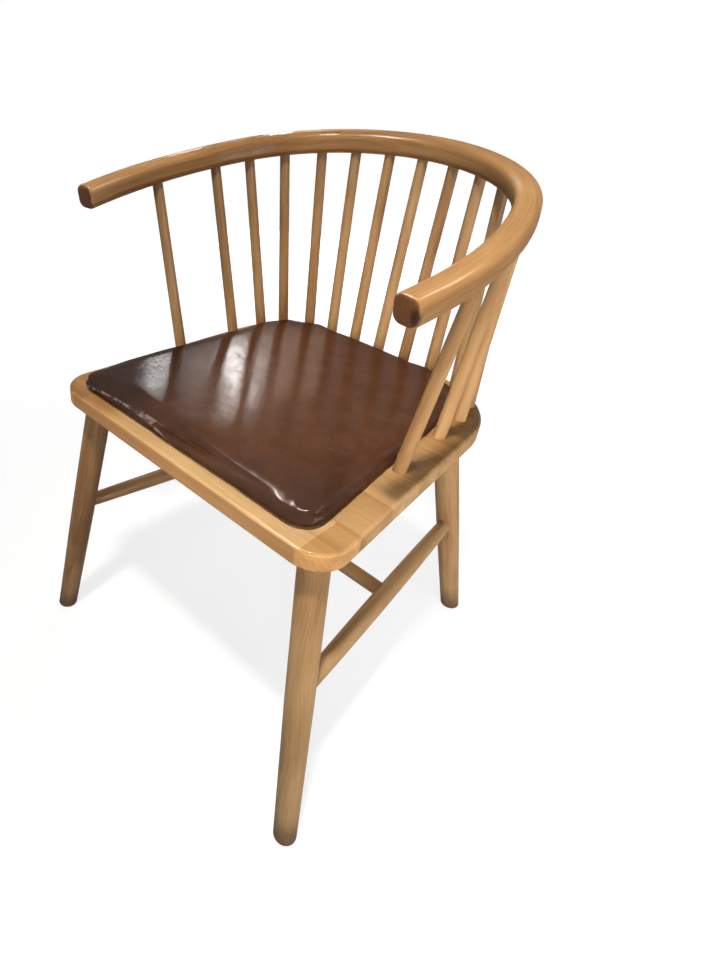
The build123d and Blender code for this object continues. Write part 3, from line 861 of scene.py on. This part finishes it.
# Wear and painted shade set the base colour
colour = blend(tree, wear_and_shade, LEATHER_DARK, LEATHER_WORN_AND_LIT)
mottle = remap(tree, hide_cloud((30, 30, 30), detail=5, roughness=0.65), 0.32, 0.68)
mottle = blend(tree, mottle, MOTTLE_DARK, MOTTLE_LIGHT)
colour = blend(tree, 1.0, colour, mottle, "MULTIPLY")
colour = blend(tree, turned, colour, LEATHER_BEAD_PALE)
colour = blend(tree, calc(tree, "MULTIPLY", crease, CREASE_SHARE), colour, CREASE_DARK)
colour = blend(tree, calc(tree, "MULTIPLY", scuff, SCUFF_COVER), colour, LEATHER_SCUFF)
feed(tree, shader.inputs["Base Color"], colour)
gloss = remap(tree, patches, 0.30, 0.72, 0.15, 0.24)
feed(tree, shader.inputs["Roughness"], calc(tree, "MULTIPLY_ADD", crease, 0.05, gloss))
shader.inputs["Specular IOR Level"].default_value = 0.0
shader.inputs["Coat Weight"].default_value = POLISH_WEIGHT
shader.inputs["Coat Roughness"].default_value = POLISH_ROUGHNESS
shader.inputs["Coat IOR"].default_value = POLISH_INDEX
bump = new_node(tree, "ShaderNodeBump")
bump.inputs["Strength"].default_value = HIDE_STRENGTH
bump.inputs["Distance"].default_value = HIDE_DEPTH
feed(tree, bump.inputs["Height"], calc(tree, "MULTIPLY_ADD", crease, -0.20, hide))
feed(tree, shader.inputs["Normal"], bump.outputs["Normal"])
feed(tree, shader.inputs["Coat Normal"], bump.outputs["Normal"])
pad.data.materials.append(leather)

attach(pad, "root")
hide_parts("pad_cover", "pad_foam", "pad_board")
print("leather finished")

# %% [markdown]
# The studio is a white sweep. The floor is a plain pale sheet that glows for the eye, more so further
# out, and keeps the chair's soft shadow. The world is white where it is seen, and gives the chair a
# gentle, slightly cool light from all round.

# %% Floor and surroundings
def seen_directly(tree):
    """1 for what the eye, a reflection or a clear body looks at, 0 for light that falls on things."""
    path = new_node(tree, "ShaderNodeLightPath")
    seen = calc(tree, "MAXIMUM", path.outputs["Is Camera Ray"], path.outputs["Is Glossy Ray"])
    return calc(tree, "MAXIMUM", seen, path.outputs["Is Transmission Ray"])


FLOOR_PALE = (0.32, 0.32, 0.32, 1)
FLOOR_RADIUS, FLOOR_HEIGHT = 12, -0.0004
GLOW_NEAR, GLOW_FAR = 0.74, 0.97
GLOW_START, GLOW_END = 0.5, 2.0
AMBIENT = 0.15
COOL_FILL, WHITE = (0.84, 0.95, 1.10, 1), (1, 1, 1, 1)

bpy.ops.object.select_all(action="DESELECT")
bpy.ops.mesh.primitive_circle_add(
    vertices=96, radius=FLOOR_RADIUS, fill_type="NGON", location=(0, 0, FLOOR_HEIGHT))
floor = bpy.context.object
floor.name = "studio_floor"
sheet, tree, shader = new_material("pale_floor")
shader.inputs["Base Color"].default_value = FLOOR_PALE
shader.inputs["Roughness"].default_value = 0.9
shader.inputs["Specular IOR Level"].default_value = 0.0
shader.inputs["Emission Color"].default_value = WHITE
away = new_node(tree, "ShaderNodeVectorMath", operation="LENGTH")
feed(tree, away.inputs[0], new_node(tree, "ShaderNodeTexCoord").outputs["Object"])
glow = remap(tree, away.outputs["Value"], GLOW_START, GLOW_END, GLOW_NEAR, GLOW_FAR)
feed(tree, shader.inputs["Emission Strength"], calc(tree, "MULTIPLY", seen_directly(tree), glow))
floor.data.materials.append(sheet)

world = bpy.data.worlds.new("studio")
scene.world = world
world.use_nodes = True
tree = world.node_tree
surround = tree.nodes["Background"]
strength_seen = remap(tree, seen_directly(tree), 0.0, 1.0, AMBIENT, 1.0)
feed(tree, surround.inputs["Strength"], strength_seen)
feed(tree, surround.inputs["Color"], blend(tree, seen_directly(tree), COOL_FILL, WHITE))
print("studio ready")

# %% [markdown]
# The key lamp hangs high in front of the chair and a little to its right, small enough that the arms
# cast a readable shadow on the seat, and its narrow beam falls off to the left. Low fills lift the
# right side, the right arm, the legs and the seat's front face, and a broad lamp lights the back.
# Most of the other lamps only shine in the gloss. Panes of a window and a dim warm wall stand behind
# the chair to the left, mirrored in the leather between the spindles. A soft square with a bright
# core draws the line on the pad's front ridge, and a strip behind draws the one on its right edge.

# %% Lamps
WARM_LAMP, RIDGE_LAMP = (1.0, 0.97, 0.93), (1.0, 0.95, 0.91)
FRONT_RIDGE = (0.05, -0.23, 0.465)


def soft_lamp(name, place, target, wide, tall, watts, colour,
              lights=True, shines=True, spread=180):
    """A rectangular lamp that looks at a target; it lights surfaces, shines in gloss, or both."""
    light = bpy.data.lights.new(name, "AREA")
    light.shape = "RECTANGLE"
    light.size, light.size_y = wide, tall
    light.energy = watts
    light.color = colour
    light.spread = math.radians(spread)
    lamp = bpy.data.objects.new(name, light)
    lamp.location = place
    lamp.rotation_euler = (Vector(target) - Vector(place)).to_track_quat("-Z", "Y").to_euler()
    lamp.visible_diffuse, lamp.visible_glossy = lights, shines
    scene.collection.objects.link(lamp)


soft_lamp("key_lamp", (0.42, -1.10, 3.3), (0.16, -0.10, 0.45),
          0.26, 0.26, 9.0, (1.0, 0.96, 0.90), spread=60)
soft_lamp("side_lamp", (1.20, 0.05, 0.46), (0.10, 0.05, 0.40),
          0.60, 0.60, 4.4, (0.95, 0.97, 1.03))
soft_lamp("near_lamp", (0.72, -0.68, 0.56), (0.25, 0.05, 0.57),
          0.30, 0.30, 0.36, WARM_LAMP, shines=False, spread=36)
soft_lamp("leg_lamp", (0.90, -0.50, 0.35), (0.20, 0.13, 0.24),
          0.30, 0.30, 0.36, (0.97, 0.97, 1.00), shines=False, spread=48)
soft_lamp("apron_lamp", (0.00, -0.95, 0.75), (0, -0.247, 0.42),
          0.40, 0.25, 0.24, WARM_LAMP, shines=False, spread=40)
soft_lamp("back_lamp", (-1.30, 2.00, 0.62), (0, 0, 0.50),
          1.20, 1.20, 26, WARM_LAMP, shines=False)
soft_lamp("window_lamp", (-1.634, 1.607, 1.665), (-0.06, -0.07, 0.465),
          0.11, 0.26, 7.0, (1.0, 0.98, 0.95))
soft_lamp("left_window", (-1.945, 1.285, 1.650), (-0.14, -0.14, 0.465),
          0.15, 0.16, 3.6, (1.0, 0.99, 0.98), lights=False)
soft_lamp("middle_pane", (-1.78, 1.46, 1.664), (-0.09, -0.10, 0.465),
          0.12, 0.22, 0.7, (1.0, 0.95, 0.90), lights=False)
soft_lamp("right_pane", (-1.533, 1.711, 1.654), (-0.03, -0.03, 0.465),
          0.07, 0.17, 0.7, (1.0, 0.93, 0.87), lights=False)
soft_lamp("warm_wall", (-1.416, 1.812, 1.60), (0, 0, 0.465),
          0.34, 0.34, 1.8, (1.0, 0.70, 0.52), lights=False)
soft_lamp("front_glow", (-0.25, -0.50, 1.45), FRONT_RIDGE,
          0.54, 0.54, 9.5, RIDGE_LAMP, lights=False)
soft_lamp("front_core", (-0.25, -0.50, 1.46), FRONT_RIDGE,
          0.24, 0.24, 9.0, RIDGE_LAMP, lights=False)
soft_lamp("rear_strip", (1.17, 1.65, 2.68), (0.18, -0.15, 0.46),
          0.50, 0.80, 26, (1.0, 0.96, 0.93), lights=False)
print("lamps ready")
